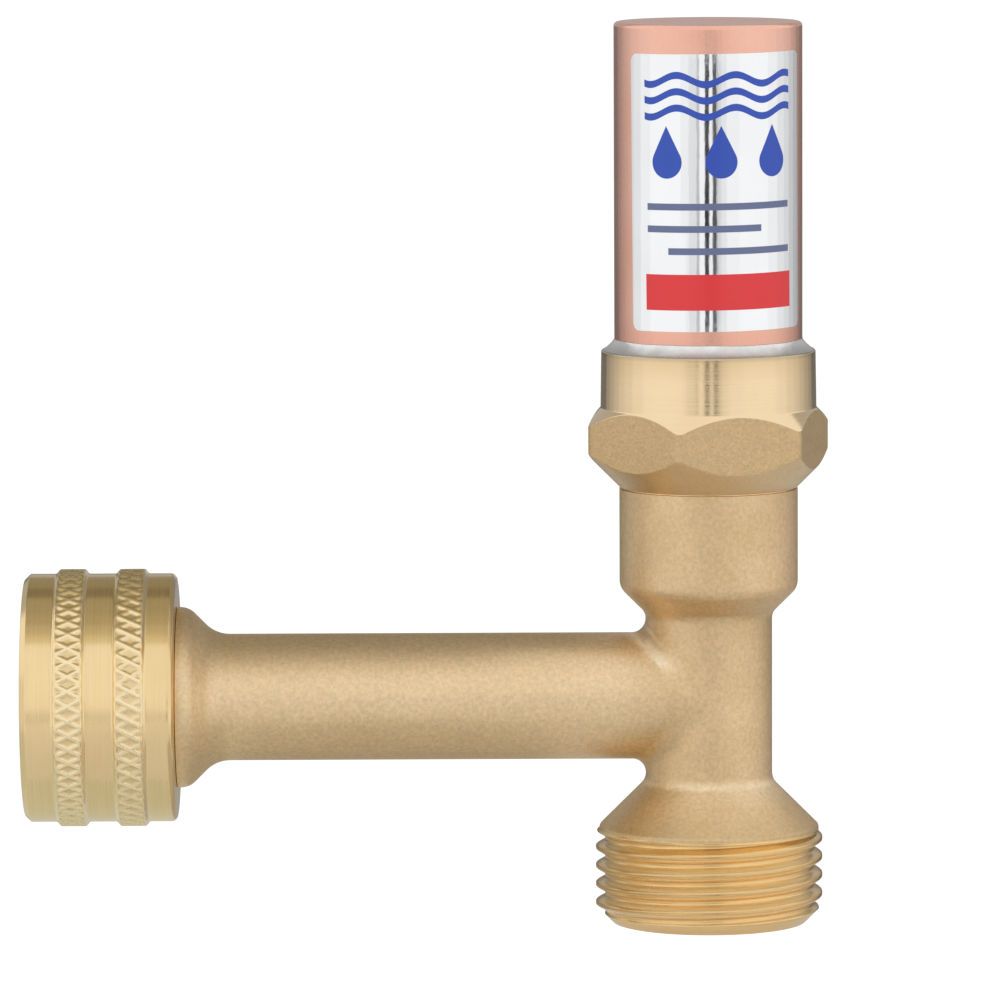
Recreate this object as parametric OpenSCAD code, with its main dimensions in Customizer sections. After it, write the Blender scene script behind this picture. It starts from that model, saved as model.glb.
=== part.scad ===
// Water hammer arrestor: a cast tee with a captive swivel nut, a threaded hose outlet
// and a sealed copper air chamber in which a piston slides.
// Millimetres. Z runs up the chamber axis from the outlet's end face, the arm points to -X.

/* [Hose thread] */
// Outside diameter of the hose thread
thread_d = 26.9; // [25:0.1:29]
// Distance from one thread crest to the next
thread_pitch = 2.209; // [2:0.001:2.5]
// Depth of the thread
thread_depth = 1.1; // [0.8:0.05:1.3]
// Number of thread crests on the outlet
thread_turns = 5; // [3:1:5]
// Height of the first thread crest above the outlet's end
thread_lead = 2; // [1.5:0.1:2.5]
// Slack between a male and a female thread
thread_slack = 0.15; // [0.05:0.05:0.3]
// Bore at the outlet's mouth
mouth_d = 18.5; // [15:0.1:20]
// Depth of the mouth's straight bore
mouth_len = 8; // [5:0.5:10]

/* [Tee body] */
// Outside diameter of the column and the arm
tube_d = 15; // [13.5:0.1:16]
// Bore of the column and the arm
waterway_d = 10.6; // [8:0.1:11]
// Height of the arm's axis above the outlet's end
arm_height = 27; // [26:0.1:32]
// Reach of the arm from the column's axis to its shoulder
arm_reach = 62.7; // [45:0.1:80]
// Diameter of the shoulder behind the nut
shoulder_d = 21.4; // [20.5:0.1:23]
// Width of the shoulder's straight rim
shoulder_rim = 1.1; // [0.6:0.1:2]
// Fillet where the arm meets the column
crotch_r = 1.7; // [1:0.1:2.5]
// Blend between straight stretches and cones
blend_r = 2; // [1:0.1:2.5]
// Blend where the arm runs into its flare
flare_r = 4; // [2:0.1:5]
// Height of the socket's cone above the arm's axis
socket_rise = 9.9; // [9.5:0.1:14]
// Outside diameter of the socket
socket_d = 21.1; // [20.5:0.1:23]
// Height of the socket from its cone's top to its mouth
socket_len = 11.8; // [10:0.1:16]

/* [Swivel nut] */
// Length of the nut
nut_len = 18; // [17:0.1:22]
// Wall of the nut outside its thread
nut_wall = 1.25; // [1:0.05:2]
// Thickness of the nut's rear lip
nut_lip = 2.8; // [2:0.1:3.5]
// Width of each raised grip band
band_w = 4; // [3:0.1:4.2]
// Height of the grip bands above the nut
band_h = 0.55; // [0.3:0.05:0.9]
// Width of the slope at each side of a band
band_slope = 0.6; // [0.3:0.05:1]
// Distance from the nut's mouth to the first band
band_inset = 3.7; // [3:0.1:4.2]
// Plain gap between the two bands
band_gap = 3.1; // [2.5:0.1:3.5]
// Number of diamonds around each grip band
knurl_count = 54; // [40:1:60]
// Lean of the knurl's ridges from the nut's axis
knurl_lean = 28; // [24:1:36]
// Width of the knurl's ridges
knurl_ridge = 0.45; // [0.35:0.05:0.6]
// Depth of the knurl's diamonds
knurl_depth = 0.25; // [0.1:0.05:0.28]
// Bevel on the nut's outer edges
nut_bevel = 0.7; // [0.3:0.05:0.9]
// Diameter of the arm's neck inside the nut
neck_d = 18.6; // [17:0.1:19]
// Diameter of the rolled rim that keeps the nut on
rim_d = 22.8; // [21:0.1:23.5]
// Thickness of the rolled rim
rim_thick = 2.2; // [1.5:0.1:2.6]
// Play of the nut on the neck
swivel_play = 0.3; // [0.2:0.05:0.4]

/* [Hose washer] */
// Outside diameter of the washer
washer_d = 25.4; // [24.8:0.1:26]
// Bore of the washer
washer_bore = 15.9; // [13:0.1:17]
// Thickness of the washer
washer_thick = 3; // [2:0.1:3.4]

/* [Hex adapter] */
// Size across the flats of the hexagon
hex_flats = 25.8; // [25.6:0.1:27]
// Rounding of the hexagon's cast corners
hex_corner = 1.2; // [0.4:0.1:2]
// Turn of the hexagon about the column
hex_turn = -15; // [-30:1:30]
// Height of the plain foot under the hexagon
hex_foot = 0.2; // [0.1:0.1:1]
// Height of the adapter from the tee to its cup
hex_rise = 9.6; // [9:0.1:13]
// Diameter at the foot of the cup
cup_d = 25.5; // [24.8:0.1:25.5]
// Narrowing of the cup towards its rim
cup_taper = 0.2; // [0:0.05:0.4]
// Height of the cup above the hexagon's upper bevel
cup_len = 6.8; // [5:0.1:9]
// Depth of the copper's seat below the cup's rim
cup_depth = 9; // [7:0.1:10]
// Diameter of the spigot inside the socket
spigot_d = 16.6; // [15.5:0.1:17]
// Length of the spigot
spigot_len = 8.8; // [6:0.1:10]
// Bore through the adapter
adapter_bore = 10; // [8:0.1:10.4]
// Section of the sealing ring under the hexagon
seal_section = 1.6; // [1.2:0.1:1.8]

/* [Copper chamber] */
// Outside diameter of the copper tube
copper_d = 22.2; // [21.6:0.05:22.8]
// Wall of the copper tube
copper_wall = 1.15; // [0.8:0.05:1.4]
// Length of the copper tube
copper_len = 47.7; // [44:0.1:60]
// Rounding of the closed end
copper_edge = 0.5; // [0.2:0.1:0.9]
// Gap that the solder fills around the tube
solder_gap = 0.08; // [0.03:0.01:0.15]
// Height of the solder fillet above the cup
solder_h = 1.4; // [0.8:0.1:2]

/* [Piston] */
// Length of the piston
piston_len = 13; // [11:0.1:18]
// Depth of the hollow under the piston
piston_hollow = 8.5; // [5:0.1:9]
// Radial clearance of the piston in the chamber
piston_play = 0.12; // [0.08:0.01:0.2]
// Section of the piston's sealing rings
ring_section = 2.4; // [1.8:0.1:2.6]
// Height of the lower ring above the piston's foot
ring_inset = 3.6; // [2.4:0.1:4]
// Distance between the two rings
ring_spacing = 5.8; // [3.6:0.1:6.5]

/* [Label] */
// Width of the label around the tube
label_w = 23.8; // [15:0.1:30]
// Height of the label
label_h = 32.4; // [20:0.1:33]
// Thickness of the label
label_thick = 0.12; // [0.05:0.01:0.2]
// Height of the label's foot above the cup's rim
label_rise = 3; // [2.5:0.1:5]
// Turn of the label's middle from the front, towards +X
label_turn = 6.8; // [-30:0.1:30]

/* [Hidden] */
$fn = 96;
cast_brass = [0.80, 0.69, 0.51];
turned_brass = [0.88, 0.78, 0.52];
copper = [0.92, 0.71, 0.61];
rubber = [0.09, 0.09, 0.10];
// Overlap that lets one cut or union run into the next
bite = 0.5;
// Slack between pieces that are screwed, glued or laid together
fit_slack = 0.1;
// Slack of a ring seal in its groove
ring_slack = 0.05;
// How far the fillet between arm and column reaches into them
sink = 0.035;

thread_r = thread_d / 2;
root_r = thread_r - thread_depth;
// The thread's flanks stand at 30 degrees, crest and root share what is left of a pitch
flank = thread_depth * tan(30);
crest = (thread_pitch - 2 * flank) / 2;
last_crest = thread_lead + (thread_turns - 1) * thread_pitch;
// The lead bevel starts at the end face and meets the thread's root at 45 degrees
lead_bevel = thread_lead - crest / 2 - flank - fit_slack;

tube_r = tube_d / 2;
waterway_r = waterway_d / 2;
shoulder_r = shoulder_d / 2;
socket_r = socket_d / 2;
mouth_r = mouth_d / 2;
outlet_cone_z = last_crest + crest / 2;
socket_cone_z = arm_height + socket_rise;
socket_shoulder_z = socket_cone_z + socket_r - tube_r;
socket_top_z = socket_shoulder_z + socket_len;
socket_floor_z = socket_top_z - spigot_len - fit_slack;
flare_x = arm_reach - shoulder_rim - (shoulder_r - tube_r);

// Distances from the column's axis along the arm
nut_rear = arm_reach + swivel_play;
nut_front = nut_rear + nut_len;
lip_face = nut_rear + nut_lip;
rim_rear = lip_face + swivel_play;
rim_front = rim_rear + rim_thick;
washer_rear = rim_front + fit_slack;
washer_front = washer_rear + washer_thick;
seat_front = washer_front + fit_slack;
nut_r = thread_r + nut_wall;
nut_bore_r = root_r + thread_slack;
nut_seat_r = washer_d / 2 + swivel_play;
nut_thread_front = nut_front - thread_depth;
nut_turns = floor((nut_thread_front - seat_front) / thread_pitch);
band_r = nut_r + band_h;
// Half sizes of a diamond between the ridges, across the nut's axis and along it
diamond_w = PI * band_r / knurl_count - knurl_ridge / 2 / cos(knurl_lean);
diamond_l = diamond_w / tan(knurl_lean);
neck_r = neck_d / 2;
rim_r = rim_d / 2;

hex_corner_r = hex_flats / 2 / cos(30);
cup_r = cup_d / 2;
cup_foot_z = socket_top_z + hex_rise;
cup_rim_z = cup_foot_z + cup_len;
cup_floor_z = cup_rim_z - cup_depth;
cup_rim_r = cup_r - cup_taper / 2;
spigot_r = spigot_d / 2;
socket_bore_r = spigot_r + fit_slack;
seal_r = socket_bore_r - ring_slack - seal_section / 2;
seal_z = socket_top_z - seal_section / 2 - ring_slack;

copper_r = copper_d / 2;
chamber_r = copper_r - copper_wall;
copper_top_z = cup_floor_z + copper_len;
piston_r = chamber_r - piston_play;
piston_z = cup_floor_z + fit_slack;
ring_r = chamber_r - ring_slack - ring_section / 2;
groove_r = ring_r - ring_section / 2 - ring_slack;
groove_w = ring_section + 4 * ring_slack;
piston_wall = 1;
ring_lower_z = piston_z + ring_inset;
ring_upper_z = ring_lower_z + ring_spacing;

label_r = copper_r + fit_slack / 5;
label_angle = label_w / label_r * 180 / PI;

// A corner b between a and c, as the points of an arc of radius r that is tangent to both sides
function corner(a, b, c, r) =
    let (
        u = (a - b) / norm(a - b),
        v = (c - b) / norm(c - b),
        half = acos(u * v) / 2,
        setback = r / tan(half),
        centre = b + (u + v) / norm(u + v) * r / sin(half),
        from = b + u * setback - centre,
        to = b + v * setback - centre,
        steps = 6
    )
    r == 0 ? [b] : [
        for (i = [0:steps])
            let (ray = from * (1 - i / steps) + to * i / steps)
            centre + ray / norm(ray) * r
    ];

// A closed outline from corners given as [distance from axis, height, rounding]
function outline(corners) = [
    for (i = [0:len(corners) - 1])
        let (
            n = len(corners),
            before = corners[(i + n - 1) % n],
            here = corners[i],
            after = corners[(i + 1) % n]
        )
        each corner(
            [before[0], before[1]], [here[0], here[1]], [after[0], after[1]], here[2]
        )
];

// A solid turned about Z from its outline
module turned(corners) {
    rotate_extrude()
        polygon(outline(corners));
}

// What is turned about Z, laid along the arm with its height measured outwards
module along_arm() {
    translate([0, 0, arm_height])
        rotate([0, -90, 0])
            children();
}

// A ring of round section about Z
module ring(middle_r, section, z) {
    translate([0, 0, z])
        rotate_extrude()
            translate([middle_r, 0])
                circle(d = section, $fn = 32);
}

// Crests of the hose thread, from the end face up to the outlet's cone
function thread_corners() = [
    [root_r - lead_bevel, 0, 0],
    [root_r, lead_bevel, 0],
    for (i = [0:thread_turns - 1])
        let (z = thread_lead + i * thread_pitch)
        each [
            [root_r, z - crest / 2 - flank, 0],
            [thread_r, z - crest / 2, 0],
            [thread_r, z + crest / 2, 0],
            if (i < thread_turns - 1) [root_r, z + crest / 2 + flank, 0]
        ]
];

// Outlet, column and socket
module column() {
    turned([
        [0, 0, 0],
        each thread_corners(),
        [tube_r, outlet_cone_z + thread_r - tube_r, blend_r],
        [tube_r, socket_cone_z, blend_r],
        [socket_r, socket_shoulder_z, blend_r],
        [socket_r, socket_top_z, 0],
        [0, socket_top_z, 0]
    ]);
}

// Arm with its flared shoulder, the neck that the nut turns on and the rolled rim
module arm() {
    along_arm()
        turned([
            [0, 0, 0],
            [tube_r, 0, 0],
            [tube_r, flare_x, flare_r],
            [shoulder_r, arm_reach - shoulder_rim, blend_r],
            [shoulder_r, arm_reach, 0],
            [neck_r, arm_reach, 0],
            [neck_r, rim_rear, 0],
            [rim_r, rim_rear, 0],
            [rim_r, rim_front, 0],
            [0, rim_front, 0]
        ]);
}

// Fillet above the arm, left by a ball that rolls along the crotch of two equal tubes.
// Its centre is at equal distance from both axes, and it touches each tube on the way to its axis.
module crotch() {
    ball_path_r = tube_r + crotch_r;
    steps = 6;
    stations = [for (a = [-76:8:76]) a];
    per_station = steps + 2;
    points = [
        for (a = stations)
            let (
                y = ball_path_r * sin(a),
                s = ball_path_r * cos(a),
                ball = [-s, y, s],
                to_column = [s, -y, 0],
                to_arm = [0, -y, -s]
            )
            each [
                [-0.4 * s, 0.7 * y, 0.4 * s],
                for (i = [0:steps])
                    let (ray = to_column * (1 - i / steps) + to_arm * i / steps)
                    ball + ray / norm(ray) * (crotch_r + sink)
            ]
    ];
    last = (len(stations) - 1) * per_station;
    faces = [
        [for (k = [0:per_station - 1]) k],
        [for (k = [per_station - 1:-1:0]) last + k],
        for (j = [0:len(stations) - 2], k = [0:per_station - 1])
            let (
                here = j * per_station,
                there = here + per_station,
                next = (k + 1) % per_station
            )
            each [
                [here + k, there + k, there + next],
                [here + k, there + next, here + next]
            ]
    ];
    polyhedron(points, faces);
}

module waterways() {
    turned([
        [0, -bite, 0],
        [mouth_r, -bite, 0],
        [mouth_r, mouth_len, 0],
        [waterway_r, mouth_len + mouth_r - waterway_r, 0],
        [waterway_r, socket_floor_z, 0],
        [socket_bore_r, socket_floor_z, 0],
        [socket_bore_r, socket_top_z + bite, 0],
        [0, socket_top_z + bite, 0]
    ]);
    along_arm()
        cylinder(r = waterway_r, h = rim_front + bite);
}

module tee_body() {
    color(cast_brass)
        difference() {
            union() {
                column();
                arm();
                translate([0, 0, arm_height]) {
                    crotch();
                    mirror([0, 0, 1])
                        crotch();
                }
            }
            waterways();
        }
}

// Corners of one raised grip band that starts at the given distance along the arm
function band_corners(start) = [
    [nut_r, start, 0],
    [band_r, start + band_slope, 0],
    [band_r, start + band_w - band_slope, 0],
    [nut_r, start + band_w, 0]
];

// Grooves of the thread inside the nut, from its mouth to the washer's seat
function nut_thread_corners() = [
    for (i = [0:nut_turns - 1])
        let (z = nut_thread_front - (i + 0.5) * thread_pitch)
        each [
            [nut_bore_r, z + crest / 2 + flank, 0],
            [nut_bore_r + thread_depth, z + crest / 2, 0],
            [nut_bore_r + thread_depth, z - crest / 2, 0],
            [nut_bore_r, z - crest / 2 - flank, 0]
        ]
];

// Diamonds sunk between the crossing ridges of a grip band that starts at the given distance along the arm
module diamonds(start) {
    for (i = [0.5:knurl_count - 0.5])
        rotate([0, 0, i * 360 / knurl_count])
            translate([band_r - knurl_depth, 0, start + band_w / 2])
                rotate([0, 90, 0])
                    linear_extrude(knurl_depth + bite)
                        polygon([[diamond_l, 0], [0, diamond_w], [-diamond_l, 0], [0, -diamond_w]]);
}

module swivel_nut() {
    first_band = nut_front - band_inset - band_w;
    second_band = first_band - band_gap - band_w;
    color(turned_brass)
        along_arm()
            difference() {
                turned([
                    [neck_r + swivel_play, nut_rear, 0],
                    [nut_r, nut_rear, nut_bevel],
                    each band_corners(second_band),
                    each band_corners(first_band),
                    [nut_r, nut_front - nut_bevel, 0],
                    [nut_r - nut_bevel, nut_front, 0],
                    [nut_bore_r + thread_depth, nut_front, 0],
                    [nut_bore_r, nut_thread_front, 0],
                    each nut_thread_corners(),
                    [nut_bore_r, seat_front, 0],
                    [nut_seat_r, seat_front, 0],
                    [nut_seat_r, lip_face, 0],
                    [neck_r + swivel_play, lip_face, 0]
                ]);
                diamonds(first_band);
                diamonds(second_band);
            }
}

module hose_washer() {
    color(rubber)
        along_arm()
            difference() {
                translate([0, 0, washer_rear])
                    cylinder(d = washer_d, h = washer_thick);
                translate([0, 0, washer_rear - bite])
                    cylinder(d = washer_bore, h = washer_thick + 2 * bite);
            }
}

// Hexagon with rounded corners and both ends turned back at 45 degrees
module hexagon() {
    foot_reach = hex_corner_r - socket_r;
    bevel_reach = hex_corner_r - cup_r;
    intersection() {
        translate([0, 0, socket_top_z - bite])
            rotate([0, 0, hex_turn - 90])
                linear_extrude(hex_rise + 3 * bite)
                    polygon(outline([
                        for (a = [0:60:300])
                            [hex_corner_r * cos(a), hex_corner_r * sin(a), hex_corner]
                    ]));
        turned([
            [0, socket_top_z, 0],
            [socket_r, socket_top_z, 0],
            [socket_r, socket_top_z + hex_foot, 0],
            [hex_corner_r + bite, socket_top_z + hex_foot + foot_reach + bite, 0],
            [hex_corner_r + bite, cup_foot_z - bevel_reach - bite, 0],
            [cup_r - bite, cup_foot_z + bite, 0],
            [0, cup_foot_z + bite, 0]
        ]);
    }
}

// Cup for the copper and spigot with its seal groove
module adapter_turning() {
    groove_floor_r = seal_r - seal_section / 2 - ring_slack;
    groove_z = seal_z - seal_section / 2 - ring_slack;
    turned([
        [0, socket_top_z - spigot_len, 0],
        [spigot_r, socket_top_z - spigot_len, 0],
        [spigot_r, groove_z, 0],
        [groove_floor_r, groove_z, 0],
        [groove_floor_r, socket_top_z + bite, 0],
        [cup_r, cup_foot_z - bite, 0],
        [cup_r, cup_foot_z, 0],
        [cup_rim_r, cup_rim_z, 0],
        [0, cup_rim_z, 0]
    ]);
}

module hex_adapter() {
    color(turned_brass)
        difference() {
            union() {
                hexagon();
                adapter_turning();
            }
            translate([0, 0, cup_floor_z])
                cylinder(r = copper_r + solder_gap, h = cup_depth + bite);
            translate([0, 0, socket_top_z - spigot_len - bite])
                cylinder(d = adapter_bore, h = spigot_len + hex_rise + cup_len);
        }
}

module adapter_seal() {
    color(rubber)
        ring(seal_r, seal_section, seal_z);
}

module copper_chamber() {
    color(copper)
        turned([
            [chamber_r, cup_floor_z, 0],
            [copper_r, cup_floor_z, 0],
            [copper_r, copper_top_z, copper_edge],
            [0, copper_top_z, 0],
            [0, copper_top_z - copper_wall, 0],
            [chamber_r, copper_top_z - copper_wall, 0]
        ]);
}

// Solder drawn up between the cup's rim and the tube, hollow towards the outside.
// A fullness of 1 makes its section a quarter of an ellipse, and less makes it flatter.
module solder_fillet() {
    foot_r = copper_r + solder_gap / 4;
    width = cup_rim_r - solder_gap - foot_r;
    fullness = 0.7;
    steps = 8;
    color([0.80, 0.81, 0.81])
        rotate_extrude()
            polygon([
                [foot_r, cup_rim_z],
                for (i = [0:steps])
                    let (a = 90 * i / steps)
                    [
                        foot_r + width * pow(1 - sin(a), fullness),
                        cup_rim_z + solder_h * pow(1 - cos(a), fullness)
                    ]
            ]);
}

module label() {
    color([0.93, 0.94, 0.95])
        translate([0, 0, cup_rim_z + label_rise])
            rotate([0, 0, label_turn - 90 - label_angle / 2])
                rotate_extrude(angle = label_angle)
                    translate([label_r, 0])
                        square([label_thick, label_h]);
}

module piston() {
    hollow_r = groove_r - piston_wall;
    color([0.90, 0.90, 0.87])
        difference() {
            turned([
                [0, piston_z, 0],
                [piston_r, piston_z, 0],
                for (z = [ring_lower_z, ring_upper_z])
                    each [
                        [piston_r, z - groove_w / 2, 0],
                        [groove_r, z - groove_w / 2, 0],
                        [groove_r, z + groove_w / 2, 0],
                        [piston_r, z + groove_w / 2, 0]
                    ],
                [piston_r, piston_z + piston_len, 0],
                [0, piston_z + piston_len, 0]
            ]);
            translate([0, 0, piston_z - bite])
                cylinder(r = hollow_r, h = piston_hollow + bite);
        }
}

module piston_ring_lower() {
    color(rubber)
        ring(ring_r, ring_section, ring_lower_z);
}

module piston_ring_upper() {
    color(rubber)
        ring(ring_r, ring_section, ring_upper_z);
}

tee_body();
swivel_nut();
hose_washer();
hex_adapter();
adapter_seal();
copper_chamber();
solder_fillet();
label();
piston();
piston_ring_lower();
piston_ring_upper();
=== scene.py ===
"""Looks of a water hammer arrestor: cast tee, knurled nut, hexagon, copper chamber and foil label.

Lengths are millimetres until a mesh is made. Z runs up the chamber's axis from the outlet's end face,
the arm points to -X and the front is towards -Y.
"""

import bmesh
import bpy
import numpy as np
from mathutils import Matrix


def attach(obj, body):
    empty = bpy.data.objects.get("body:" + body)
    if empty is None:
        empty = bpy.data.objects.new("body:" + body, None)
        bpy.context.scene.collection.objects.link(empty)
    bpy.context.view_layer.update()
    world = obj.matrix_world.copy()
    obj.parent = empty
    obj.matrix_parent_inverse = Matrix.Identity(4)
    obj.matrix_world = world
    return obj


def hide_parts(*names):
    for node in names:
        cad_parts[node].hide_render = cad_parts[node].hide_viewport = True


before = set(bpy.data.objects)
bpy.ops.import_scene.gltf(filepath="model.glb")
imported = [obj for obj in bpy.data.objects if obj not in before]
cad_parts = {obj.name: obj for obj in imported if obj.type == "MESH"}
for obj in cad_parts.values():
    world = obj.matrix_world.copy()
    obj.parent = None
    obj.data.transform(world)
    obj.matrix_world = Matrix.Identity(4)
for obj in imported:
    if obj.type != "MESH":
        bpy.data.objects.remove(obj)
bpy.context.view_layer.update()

MM = 0.001

# Tee: outlet thread, column, socket and arm
PITCH = 2.209
THREAD_R = 13.45
THREAD_DEPTH = 1.1
THREAD_CREST = 0.47
THREAD_FLANK = 0.635
LEFT_CREST_Z = 2.3
THREAD_BEVEL = 2.0
OUTLET_R = 11.45
THREAD_END = 10.75
CONE_SUM = 24.52
NECKING_R = 13.0
MOUTH_R = 9.25
MOUTH_DEPTH = 8.0
TUBE_R = 7.5
WATERWAY_R = 5.3
ARM_Z = 27.0
CROTCH_R = 1.7
SOCKET_R = 10.55
SOCKET_BORE_R = 8.4
SOCKET_TOP = 51.75
SOCKET_FLOOR = 42.85
SOCKET_CONE_TOP = 39.95
SOCKET_CONE_FOOT = 36.9
FLARE_START = 58.4
FLARE_END = 61.6
SHOULDER_R = 10.7
SHOULDER_A = 62.96
NECK_R = 9.3
RIM_R = 11.4
RIM_REAR = 66.1
RIM_FRONT = 68.3

# Crotch: how far its fillet grows towards the front and back, and the rows of points across it
CROTCH_GROWTH = 5.0
FILLET_ROWS = 13

# Painted light on the casting by height, from -1 for painted shade to 1 for a painted highlight: outlet's
# cone and socket's cone
CONE_PAINTED_LIGHT_Z = (11.4, 12.4, 14.5, 15.8, 16.8, 17.8)
CONE_PAINTED_LIGHT = (-0.5, -0.4, -0.2, 0, 0.6, 0)
SOCKET_PAINTED_LIGHT_Z = (34, 35.8, 39, 40.5)
SOCKET_PAINTED_LIGHT = (0, -0.5, -0.5, 0)

# Nut and washer, by distance along the arm
NUT_R = 14.7
NUT_REAR = 63.0
NUT_FRONT = 81.0
LIP_R = 9.6
LIP_FACE = 65.8
SEAT_R = 13.0
SEAT_FRONT = 71.5
NUT_BORE_R = 12.5
BAND_H = 0.548
BAND_W = 4.0
BAND_SLOPE = 0.6
BAND_STARTS = (66.2, 73.3)
KNURL_SHIFTS = (0.22, 0.0)
CROSS_RIDGES = (0.6, 1.0)
RIDGES = 54
RIDGE_LEAN = np.radians(28)
RIDGE_FLANK = (0.1, 0.48)
KNURL_START = 0.42
KNURL_FULL = 0.8
KNURL_DEPTH = 0.26
WASHER_BORE_R = 7.95
WASHER_R = 12.7
WASHER_REAR = 68.4
WASHER_FRONT = 71.4

# Hexagon, cup, chamber and label
FLAT_R = 12.9
HEX_ROUND = 1.23
FIRST_FLAT = np.radians(-75)
FOOT_TOP = 51.95
CUP_R = 12.75
CUP_FOOT = 61.35
CUP_RIM_R = 12.65
CUP_RIM = 68.15
CUP_FLOOR = 59.15
CUP_BORE_R = 11.18
ADAPTER_BORE_R = 5.0
SPIGOT_R = 8.3
SPIGOT_FOOT = 42.95
SEAL_GROOVE_R = 6.7
SEAL_GROOVE_FOOT = 50.05
COPPER_R = 11.1
CHAMBER_R = 9.95
COPPER_TOP = 106.85
CHAMBER_TOP = 105.7
SOLDER_H = 1.4
LABEL_R = 11.12
LABEL_W = 23.8
LABEL_H = 32.4
LABEL_THICK = 0.12
LABEL_ROUND = 1.0
LABEL_FOOT = 71.15
LABEL_TURN = np.radians(6.8)
LABEL_TILT = np.radians(0.6)

# Studio in metres. The ring's cards stand in a circle: each is given by the bearing where it ends, in degrees
# from the front towards +X, and by its grey, and it begins where the last one ends. Each tier of the ring
# has a foot, a top and a share by which its front cards fade to white. Flags lie above and below the arm:
# each is given by its front y, its back y and its grey.
FLOOR_Z = -0.12
RING_R = 0.55
RING_START = -176
RING_FRONT = 40
RING_CARDS = (
    (-142, 0.18), (-132, 0.36), (-122, 0.48), (-112, 0.6), (-102, 0.73), (-90, 0.82), (-75, 0.93),
    (-34.5, 1.0), (-24.5, 0.92), (-15, 0.79), (-11.8, 0.52), (-5.4, 0.97), (-0.2, 0.03), (3.9, 0.95),
    (8.3, 0.08), (10.5, 0.55), (14, 0.72), (20.5, 0.84), (36, 0.95), (75, 1.0), (90, 0.93), (102, 0.82),
    (112, 0.73), (122, 0.6), (132, 0.48), (142, 0.36), (176, 0.18)
)
RING_TIERS = ((FLOOR_Z, -0.03, 0.0), (-0.03, 0.0225, 0.78), (0.0225, 0.0772, 0.0), (0.0772, 0.1, 0.8))
NUT_FLAGS = (
    (-0.0265, -0.0207, 0.74), (-0.0207, -0.0152, 0.57), (-0.0152, -0.0094, 0.46), (-0.0094, 0.0008, 0.41),
    (0.0008, 0.0091, 0.24), (0.0091, 0.0408, 0.32)
)
ARM_FLAGS = (
    (-0.0234, -0.0119, 0.72), (-0.0119, -0.0028, 0.5), (-0.0028, 0.02, 0.32), (0.02, 0.08, 0.28)
)
ARM_FOOT_FLAGS = ((-0.0446, -0.0174, 0.53), (-0.0174, 0.0008, 0.52), (0.0008, 0.08, 0.42))
NUT_FLAG_X = (-0.105, -0.057)
NUT_FLAG_Z = 0.058
NUT_FOOT_FLAG_X = (-0.25, -0.058)
NUT_FOOT_FLAG_Y = (-0.022, 0.1)
NUT_FOOT_FLAG_Z = -0.02
NUT_CARD_X = (-0.105, -0.052)
NUT_CARD_Y = -0.1
NUT_CARD_Z = (0.018, 0.075)
BACK_CARD_X = (-1.3, 1.3)
BACK_CARD_Y = 0.95
BACK_CARD_Z = (0.06, 1.3)
ARM_FLAG_X = (-0.058, -0.024)
ARM_FLAG_Z = 0.055
ARM_FOOT_FLAG_X = (-0.058, -0.018)
ARM_FOOT_FLAG_Z = 0.0
CROTCH_FLAG_X = (-0.024, -0.011)
CROTCH_FLAG_FRONT = -0.01
WARM = (1.0, 0.92, 0.7)
TAN = (1.0, 0.95, 0.85)
WHITE = (1.0, 1.0, 1.0)
PALE_GREEN = (0.95, 1.0, 0.93)

# Camera in metres, millimetres of lens and degrees
CAMERA_AT = (-0.024665, -0.95086, 0.15174)
CAMERA_TIP = 6.0864
CAMERA_TURN = -0.24
FOCAL_LENGTH = 291.1
SENSOR_WIDTH = 36


def smooth_step(low, high, value):
    """0 below low, 1 above high, and 3t^2 - 2t^3 between them."""
    t = np.clip((value - low) / (high - low), 0.0, 1.0)
    return t * t * (3.0 - 2.0 * t)


def around(count):
    """Angles of `count` columns round a full turn, the first at -180 degrees."""
    return np.arange(count) * (2 * np.pi / count) - np.pi


def outline(corners, columns, steps=4, room=0.45, closed=True):
    """Rows of (radius, height) through corners given as (radius, height, rounding).

    Each corner becomes the arc of its rounding that is tangent to both its sides and takes up at most the
    share `room` of the shorter one. One more row beside each end of an arc keeps the straight stretch flat
    in the shading. A radius or height may be an array with one value per column.
    """
    at = np.stack([
        np.stack([np.broadcast_to(r, columns), np.broadcast_to(h, columns)]) for r, h, _ in corners
    ]).astype(float)
    last = len(corners) - 1
    rows = []
    for i, (_, _, rounding) in enumerate(corners):
        here = at[i]
        if not closed and i in (0, last):
            rows.append(here[None])
            continue
        back = at[i - 1] - here
        ahead = at[0 if i == last else i + 1] - here
        back_length = np.linalg.norm(back, axis=0)
        ahead_length = np.linalg.norm(ahead, axis=0)
        back, ahead = back / back_length, ahead / ahead_length
        shorter = np.minimum(back_length, ahead_length)
        half = np.arccos(np.clip((back * ahead).sum(0), -1, 1)) / 2
        setback = np.minimum(rounding / np.tan(half), room * shorter)
        radius = setback * np.tan(half)
        bisector = back + ahead
        centre = here + bisector / np.linalg.norm(bisector, axis=0) * radius / np.sin(half)
        t = np.linspace(0, 1, steps + 1)[:, None, None]
        ray = (here + back * setback - centre) * (1 - t) + (here + ahead * setback - centre) * t
        arc = centre + ray / np.linalg.norm(ray, axis=1, keepdims=True) * radius
        guard = np.minimum(0.06, 0.03 * shorter)
        rows += [
            (here + back * (setback + guard))[None], arc, (here + ahead * (setback + guard))[None]
        ]
    return np.concatenate(rows)


def stretch_to(rows, end, shares=(0.3, 0.6, 0.82, 0.94, 0.97, 0.984, 0.992, 1.0)):
    """Rows carried on in straight lines from the last one to `end`, closer together towards it."""
    t = np.array(shares)[:, None, None]
    return np.concatenate([rows, rows[-1] * (1 - t) + end * t])


def spun(rows, angle):
    """Radius and height turned about Z: (r cos angle, r sin angle, height)."""
    return np.stack([rows[:, 0] * np.cos(angle), rows[:, 0] * np.sin(angle), rows[:, 1]], -1)


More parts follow.
